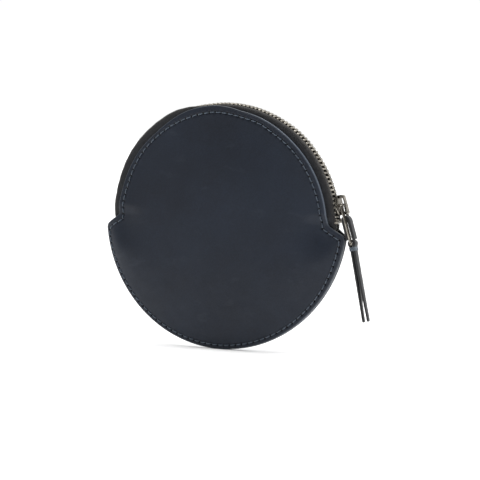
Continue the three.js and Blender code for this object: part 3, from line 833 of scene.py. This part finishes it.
def tooth_loops(side, theta, wobble):
    """A clamped foot, a narrow waist and a rounded head with a raised nib."""
    profile = [
        (2.72, 0.30, 0.3, -0.6), (2.62, 0.40, 0.1, -0.42), (2.35, 0.43, 0.0, -0.26),
        (1.75, 0.43, 0.0, -0.12), (1.5, 0.36, 0.14, -0.16), (1.25, 0.34, 0.2, -0.12),
        (1.02, 0.44, 0.08, -0.02), (0.72, 0.47, 0.06, 0.0), (0.45, 0.42, 0.16, -0.06),
        (0.3, 0.3, 0.4, -0.24), (0.24, 0.16, 0.62, -0.5)]
    dip = crown_dip(theta)
    reach = HEAD_REACH * window(theta, *HEAD_RISE_DEG)
    loops = []
    for y, half_u, up, down in profile:
        y -= reach * (1 - y / TOOTH_ROOT)
        box = rounded_box(half_u, TOOTH_LOW + up - dip, TOOTH_TOP + down - dip, 0.16)
        middle = polar(1.0, theta)
        tangent = polar(1.0, theta + 90)
        flat = ZIP_CENTRE + box[:, 1:] * middle + (box[:, :1] + wobble) * tangent
        loops.append(np.stack([flat[:, 0], np.full(8, side * y), flat[:, 1]], -1))
    return loops


def teeth(name, side, start):
    random = np.random.default_rng(7 if side < 0 else 8)
    bodies = Bodies()
    for k in range(TEETH_PER_ROW):
        bodies.add(tooth_loops(side, start + k * TOOTH_PITCH_DEG, random.normal(0, 0.018)))
    obj = sharpen(bodies.object(name, TEETH), 50)
    return stand_in(obj, "zip_metal", "zip_teeth_front" if side < 0 else "zip_teeth_back")


teeth_front = teeth("teeth_front", -1, TEETH_START_DEG)
teeth_back = teeth("teeth_back", 1, TEETH_START_DEG + TOOTH_PITCH_DEG / 2)


def stop(name, y_from, y_to, theta, length, node):
    """A folded metal clip over the bead, its edges rolled."""
    loops = []
    span = y_to - y_from
    for share, inset in ((0.0, 0.34), (0.06, 0.12), (0.16, 0.0), (0.5, -0.03), (0.84, 0.0),
                         (0.94, 0.12), (1.0, 0.34)):
        box = rounded_box(length / 2 - inset, TOOTH_LOW + inset * 0.8, TOOTH_TOP + 0.2 - inset * 0.8, 0.3)
        flat = ZIP_CENTRE + box[:, 1:] * polar(1.0, theta) + box[:, :1] * polar(1.0, theta + 90)
        loops.append(np.stack([flat[:, 0], np.full(8, y_from + span * share), flat[:, 1]], -1))
    bodies = Bodies()
    bodies.add(loops)
    return stand_in(sharpen(bodies.object(name, NICKEL), 50), "nickel", node)


top_clip_front = stop("top_clip_front", -2.75, -0.5, TOP_STOP_DEG, 2.1, "top_stop_front")
top_clip_back = stop("top_clip_back", 0.5, 2.75, TOP_STOP_DEG + 0.5, 2.1, "top_stop_back")
bottom_clip = stop("bottom_clip", -0.45, 2.75, BOTTOM_STOP_DEG, 2.1, "bottom_stop")


# ---- Slider ----


def placed(points, origin, out_deg):
    """Local [x outwards, y, z up] points, leaned by an angle from upright, into the purse."""
    a = math.radians(out_deg)
    x, y, z = np.moveaxis(np.asarray(points, float), -1, 0)
    return np.stack([origin[0] + x * math.cos(a) - z * math.sin(a), y,
                     origin[1] + x * math.sin(a) + z * math.cos(a)], -1)


def on_slider(points):
    """Local [u towards the closed end, y, radius] points, at the slider's place on the zip."""
    u, y, radius = np.moveaxis(np.asarray(points, float), -1, 0)
    out = polar(1.0, SLIDER_DEG)
    down = polar(1.0, SLIDER_DEG - 90)
    flat = ZIP_CENTRE + radius[..., None] * out + u[..., None] * down
    return np.stack([flat[..., 0], y, flat[..., 1]], -1)


def slider_outline(shrink=0.0):
    """The plate's shape: wide shoulders at the closed end, narrower behind."""
    half = SLIDER_LENGTH / 2
    wide, narrow = 3.4, 2.7
    corners = [((-half + 0.9, narrow), (-half, narrow), (-half, narrow - 0.9)),
               ((-half, -narrow + 0.9), (-half, -narrow), (-half + 0.9, -narrow)),
               ((half - 2.6, -wide), (half - 0.2, -wide), (half - 0.05, -wide + 2.0)),
               ((half - 0.1, -0.6), (half + 0.0, 0.0), (half - 0.1, 0.6)),
               ((half - 0.05, wide - 2.0), (half - 0.2, wide), (half - 2.6, wide))]
    points = np.concatenate([bezier(*c, 7) for c in corners])
    centre = points.mean(0)
    return centre + (points - centre) * (1 - shrink / np.linalg.norm(points - centre, axis=1))[:, None]


def plate_loops(low, high, edge, crown):
    """A plate with rolled edges, from low to high radius, slightly crowned on its far face."""
    stack = [(low, edge), (low + edge * 0.35, edge * 0.3), (low + edge, 0.0),
             (high - edge, 0.0), (high - edge * 0.35, edge * 0.3), (high, edge), (high + crown, 1.4)]
    outlines = [slider_outline(shrink) for _, shrink in stack]
    return np.array([np.column_stack([outline, np.full(len(outline), radius)])
                     for outline, (radius, _) in zip(outlines, stack)])


def slider():
    bodies = Bodies()
    bodies.add(on_slider(plate_loops(*TOP_PLATE, PLATE_EDGE, PLATE_CROWN)))
    under = plate_loops(*BOTTOM_PLATE, PLATE_EDGE, PLATE_CROWN)
    under = (under - [0, 0, BOTTOM_PLATE[0]]) * [1, 1, -1] + [0, 0, BOTTOM_PLATE[1]]
    bodies.add(on_slider(under))
    half = SLIDER_LENGTH / 2
    web = [(half - 3.3, 0.06), (half - 2.9, 0.15), (half - 1.8, 0.2), (half - 1.0, 0.2), (half - 0.6, 0.12)]
    foot, head = BOTTOM_PLATE[1] - WEB_SINK_BELOW, TOP_PLATE[0] + WEB_SINK_ABOVE
    bodies.add(on_slider([[(u, -w, foot), (u, w, foot), (u, w, head), (u, -w, head)] for u, w in web]))
    for side in (-1, 1):
        lip = []
        for u in np.linspace(-half + 1.0, half - 2.4, 12):
            share = (u + half - 1.0) / (2 * half - 3.4)
            y = lerp(2.62, 3.3, smoothstep(share, 0, 1))
            taper = window(share, -0.02, 0.12, 0.88, 1.02)
            low = 57.0 - 0.75 * taper
            lip.append(on_slider([(u, side * (y - 0.3), 57.2), (u, side * (y - 0.3), low + 0.1),
                                  (u, side * (y - 0.2), low), (u, side * (y - 0.02), low),
                                  (u, side * (y + 0.06), low + 0.1), (u, side * (y + 0.06), 57.2)]))
        bodies.add(lip)
    return stand_in(sharpen(bodies.object("slider_shell", NICKEL), 40), "nickel", "slider_body")


def cap():
    """A boxy arch with soft corners, taller at the closed end, its feet staked into the plate."""
    half = CAP_LENGTH / 2
    base = TOP_PLATE[1] + 0.02
    wall, soft, tight = CAP_WALL, CAP_CORNER, CAP_INNER_CORNER

    def top(u):
        return lerp(CAP_TOP_BEHIND, CAP_TOP_AHEAD, (u + half) / CAP_LENGTH)

    def corner(a, b, c, count):
        return bezier(a, b, c, count).tolist()

    outer = [(-half, base)]
    outer += corner((-half, top(-half) - soft), (-half, top(-half)), (soft - half, top(soft - half)), 8)
    outer += corner((half - soft, top(half - soft)), (half, top(half)), (half, top(half) - soft), 8)
    outer += [(half, base)]
    under = half - CAP_FOOT
    inner = [(under, base)]
    inner += corner((under, top(under) - wall - tight), (under, top(under) - wall),
                    (under - tight, top(under - tight) - wall), 6)
    inner += corner((tight - under, top(tight - under) - wall), (-under, top(-under) - wall),
                    (-under, top(-under) - wall - tight), 6)
    inner += [(-under, base)]
    outline = np.array(outer + inner)
    bodies = Bodies()
    bodies.add(on_slider([[(u, y, radius) for u, radius in outline]
                          for y in (-CAP_WIDTH / 2, CAP_WIDTH / 2)]))
    return stand_in(bevel(bodies.object("slider_arch", NICKEL), 0.22, 3), "nickel", "slider_cap")


slider_shell = slider()
slider_arch = cap()


# ---- Pull and strap ----

PIVOT = polar(PIVOT_RADIUS_FROM_ZIP, SLIDER_DEG, ZIP_CENTRE)
BAR_Z = -PULL_LENGTH + PULL_THICK / 2
BAR = placed([(0, 0, BAR_Z)], PIVOT, PULL_DEG)[0][[0, 2]]


def frame_outline(width, top, bottom, corner, count=6):
    """A rounded rectangle in y and z."""
    half = width / 2
    corners = [((half - corner, top), (half, top), (half, top - corner)),
               ((half, bottom + corner), (half, bottom), (half - corner, bottom)),
               ((-half + corner, bottom), (-half, bottom), (-half, bottom + corner)),
               ((-half, top - corner), (-half, top), (-half + corner, top))]
    return np.concatenate([bezier(*c, count) for c in corners])


def frame_ring(outer, inner, half_thick, edge):
    """A flat frame between two outlines, as closed rings of rolled-edge sections."""
    loops = []
    for o, i in zip(outer, inner):
        inwards = unit(i - o)
        width = np.linalg.norm(i - o)
        c = min(edge, width * 0.35, half_thick * 0.8)
        sides = [(c, -half_thick), (width - c, -half_thick), (width, -half_thick + c),
                 (width, half_thick - c), (width - c, half_thick), (c, half_thick),
                 (0, half_thick - c), (0, -half_thick + c)]
        loops.append([(x, *(o + inwards * w)) for w, x in sides])
    return loops


# Places along a pin, and its radius there as a share: a cylinder with domed ends.
PIN_PROFILE = ((-2.62, 0.5), (-2.56, 0.8), (-2.4, 0.97), (-1.4, 1.0), (0, 1.0), (1.4, 1.0),
               (2.4, 0.97), (2.56, 0.8), (2.62, 0.5))


def pull():
    """A long nickel frame: pivot pin at the top, a cross bar, and the pin that holds the strap."""
    bodies = Bodies()
    half = PULL_THICK / 2
    outer = frame_outline(FRAME_WIDTH, 0.6, -PULL_LENGTH + 0.28, 1.0)
    inner = frame_outline(FRAME_WINDOW, -0.5, BAR_Z + 0.36, 0.4)
    ring = frame_ring(outer, inner, half, 0.24)
    bodies.add(placed(ring, PIVOT, PULL_DEG), ring=True)
    section = rounded_box(0.52, CROSS_BAR_Z - 0.62, CROSS_BAR_Z + 0.62, 0.2)
    bar = [[(x, y, z) for x, z in section] for y in (-CROSS_BAR_REACH, CROSS_BAR_REACH)]
    bodies.add(placed(bar, PIVOT, PULL_DEG))
    turns = np.radians(np.arange(0, 360, 20))
    for z, size in ((0.0, 0.7), (BAR_Z, 0.63)):
        pin = []
        for y, share in PIN_PROFILE:
            radius = size * share
            pin.append([(radius * math.cos(t), y, z + radius * math.sin(t)) for t in turns])
        bodies.add(placed(pin, PIVOT, PULL_DEG))
    return stand_in(sharpen(bodies.object("pull_loop", NICKEL), 45), "nickel", "pull_frame")


def strip_loops(spine, width, thick, origin, lean, taper=0.0):
    """A leather strip along [x, z] points: rounded section, ends softened and slimmed by taper."""
    spine = np.asarray(spine, float)
    length = distances(spine)
    steps = max(24, int(length[-1] / 0.45))
    at = np.linspace(0, length[-1], steps)
    at = np.concatenate([[0, 0.06, 0.18], at[1:-1], [length[-1] - 0.18, length[-1] - 0.06, length[-1]]])
    at.sort()
    smooth = points_at(at, length, spine)
    for _ in range(6):
        smooth[1:-1] = (smooth[:-2] + 2 * smooth[1:-1] + smooth[2:]) / 4
    forward = unit(np.gradient(smooth, axis=0))
    out = np.stack([-forward[:, 1], forward[:, 0]], -1)
    loops = []
    for k in range(len(at)):
        from_end = min(at[k], length[-1] - at[k])
        shrink = 0.16 * (1 - smoothstep(from_end, 0, 0.25))
        slim = lerp(1 - taper, 1, smoothstep(from_end, 0, 24)) / 2
        half_w, half_t = width * slim - shrink, thick * slim - shrink
        c = min(0.26, 0.75 * half_t)
        side = [(half_w - c, -half_t), (half_w - 0.07, 0.09 - half_t), (half_w, c - half_t)]
        side += [(w, -t) for w, t in side[::-1]]
        section = [(-half_w + c, -half_t), (0, -half_t), *side, (0, half_t)]
        section += [(-w, -t) for w, t in side[:-1]]
        ripple = 0.03 * math.sin(at[k] * 1.7) * math.sin(at[k] * 0.53)
        loops.append([(smooth[k, 0] + out[k, 0] * (t + ripple), y, smooth[k, 1] + out[k, 1] * (t + ripple))
                      for y, t in section])
    return placed(loops, origin, lean)


# Faces of a strip's section that are its painted sides.
STRIP_SIDES = (3, 4, 5, 10, 11, 12)


def strip_object(name, loops, node):
    points, faces = loft(loops)
    columns = loops.shape[1]
    indices = [1 if k % columns in STRIP_SIDES else 0 for k in range(len(faces) - 2)] + [1, 1]
    obj = make_mesh(name, points, faces, [STRAP, STRAP_EDGE], indices)
    return stand_in(sharpen(obj, 50), "strap_leather", node)


def fold(z, reach):
    a = np.radians(np.linspace(0, 180, 13))
    return np.stack([reach * np.cos(a), z + reach * np.sin(a)], -1)


def tab():
    """A short strip folded tightly over the cross bar, both legs lying along the frame."""
    reach = PULL_THICK / 2 + 0.04 + TAB_THICK / 2
    spine = [(reach + 0.08, -16.1), (reach + 0.02, -14.0), (reach, -10.0)]
    spine += fold(-6.8, reach).tolist() + [(-reach, -11.0), (-reach, -15.9)]
    loops = strip_loops(spine, TAB_WIDTH, TAB_THICK, PIVOT, PULL_DEG)
    return strip_object("leather_tab", loops, "pull_tab")


def strap():
    """Folded over the frame's bottom bar: two layers that close up, then part at their tips."""
    near = (STRIP_THICK + 0.3) / 2
    far = 1.15

    def leg(sign):
        return [(sign * near, -1.25), (sign * near, -6), (sign * near, -13.6),
                (sign * lerp(near, far, 0.2), -19), (sign * lerp(near, far, 0.5), -24.5),
                (sign * lerp(near, far, 0.8), -29.5), (sign * far, -STRAP_LENGTH)]

    reach = PULL_THICK / 2 + 0.5 + STRIP_THICK / 2
    spine = leg(1)[::-1] + fold(0, reach).tolist() + leg(-1)
    loops = strip_loops(spine, STRIP_WIDTH, STRIP_THICK, BAR, STRAP_DEG, STRAP_TAPER)
    return strip_object("leather_strap", loops, "pull_strap")


def tack():
    """Turns of thread bound tightly round both layers."""
    bodies = Bodies()
    corner = 0.5
    half_x, half_y = STRIP_THICK + 0.35, STRIP_WIDTH / 2 + TACK_RADIUS
    turns = np.radians(np.arange(0, 360, 45))
    path = frame_outline(half_y * 2, half_x, -half_x, corner, 5)
    path = np.concatenate([path, path[:1]])
    length = distances(path)
    at = np.linspace(0, length[-1], 41)[:-1]
    flat = points_at(at, length, path)
    forward = unit(np.roll(flat, -1, 0) - np.roll(flat, 1, 0))
    out = np.stack([forward[:, 1], -forward[:, 0]], -1)
    for turn in range(TACK_TURNS):
        z = -1.5 - TACK_PITCH * turn
        loops = []
        for k in range(len(flat)):
            level = z - TACK_PITCH * k / len(flat) * 0.4
            loops.append([(flat[k, 1] + out[k, 1] * TACK_RADIUS * math.cos(t),
                           flat[k, 0] + out[k, 0] * TACK_RADIUS * math.cos(t),
                           level + TACK_RADIUS * math.sin(t)) for t in turns])
        bodies.add(placed(loops, BAR, STRAP_DEG), ring=True)
    return stand_in(bodies.object("thread_tack", TACK_THREAD), "thread", "strap_tack")


pull_loop = pull()
leather_tab = tab()
leather_strap = strap()
thread_tack = tack()


# ---- What rides on what ----

for piece in (leather_back, stitches_back, lining_back, tape_back, teeth_back, top_clip_back, bottom_clip):
    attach(piece, "shell")
for piece in (leather_front, stitches_front, lining_front, tape_front, teeth_front, top_clip_front):
    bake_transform(piece)
for piece in (slider_shell, slider_arch):
    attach(piece, "slider")
for piece in (pull_loop, leather_tab):
    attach(piece, "pull")
for piece in (leather_strap, thread_tack):
    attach(piece, "strap")


# ---- Studio ----

FOOT_Z = min(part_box("back_panel")[0].z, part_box("front_panel_lower")[0].z) - 0.0001


def floor():
    """A wide pale floor that falls off to grey far in front of the purse."""
    size = 6.0
    count = 25
    line = np.linspace(-size, size, count)
    x, y = np.meshgrid(line, line)
    mesh = bpy.data.meshes.new("floor")
    points = np.stack([x, y, np.full_like(x, FOOT_Z)], -1).reshape(-1, 3)
    faces = [(i * count + j, i * count + j + 1, (i + 1) * count + j + 1, (i + 1) * count + j)
             for i in range(count - 1) for j in range(count - 1)]
    mesh.from_pydata(points.tolist(), [], faces)
    mesh.materials.append(floor_look())
    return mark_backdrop(new_object("floor", mesh))


def softbox(name, place, size, power):
    light = bpy.data.lights.new(name, "AREA")
    light.shape = "RECTANGLE"
    light.size, light.size_y = size
    light.energy = power
    obj = new_object(name, light)
    obj.location = place
    obj.rotation_euler = (Vector(MIDDLE) - Vector(place)).to_track_quat("-Z", "Y").to_euler()


floor()
MIDDLE = (0, MIDDLE_Y / 1000, 0)
softbox("key_right", (0.6, 0.4, 0.5), (0.7, 0.8), 1.5)
softbox("fill_left", (-0.7, -0.7, 0.6), (0.7, 0.7), 0.75)

overhead = bpy.data.lights.new("overhead", "SUN")
overhead.energy = 2.6
overhead.angle = math.radians(50)
new_object("overhead", overhead).rotation_euler = (math.radians(4), 0, 0)


def surroundings():
    """A white room that is dimmer on the camera's side of the purse."""
    world = bpy.data.worlds.new("studio")
    bpy.context.scene.world = world
    world.use_nodes = True
    nodes, links = world.node_tree.nodes, world.node_tree.links
    direction = nodes.new("ShaderNodeTexCoord")
    split = nodes.new("ShaderNodeSeparateXYZ")
    ramp = nodes.new("ShaderNodeMapRange")
    ramp.interpolation_type = "SMOOTHSTEP"
    for name, value in (("From Min", -0.85), ("From Max", -0.1), ("To Min", 0.1), ("To Max", 1.02)):
        ramp.inputs[name].default_value = value
    links.new(direction.outputs["Generated"], split.inputs[0])
    links.new(split.outputs["Y"], ramp.inputs["Value"])
    links.new(ramp.outputs[0], nodes["Background"].inputs["Strength"])
    nodes["Background"].inputs["Color"].default_value = (1, 1, 1, 1)


surroundings()
bpy.context.scene.view_settings.view_transform = "Standard"

# The camera looks from the front right, a little above the middle, slightly rolled.
AZIMUTH, ELEVATION, ROLL = math.radians(25.8), math.radians(2.45), math.radians(2.15)
DISTANCE = 1.5
PICTURE_WIDTH = 0.216
AIM_RIGHT, AIM_DOWN = 0.00634, 0.01085
back = Vector((math.sin(AZIMUTH) * math.cos(ELEVATION), -math.cos(AZIMUTH) * math.cos(ELEVATION),
               math.sin(ELEVATION)))
level_right = Vector((math.cos(AZIMUTH), math.sin(AZIMUTH), 0))
level_up = back.cross(level_right)
right = level_right * math.cos(ROLL) + level_up * math.sin(ROLL)
up = level_up * math.cos(ROLL) - level_right * math.sin(ROLL)
aim = Vector(MIDDLE) + right * AIM_RIGHT - up * AIM_DOWN
camera = bpy.data.cameras.new("camera")
camera.sensor_width = 36
camera.lens = 36 * DISTANCE / PICTURE_WIDTH
camera.clip_start, camera.clip_end = 0.05, 30
camera_object = new_object("camera", camera)
camera_object.matrix_world = Matrix.Translation(aim + back * DISTANCE) @ Matrix(
    (right, up, back)).transposed().to_4x4()
bpy.context.scene.camera = camera_object
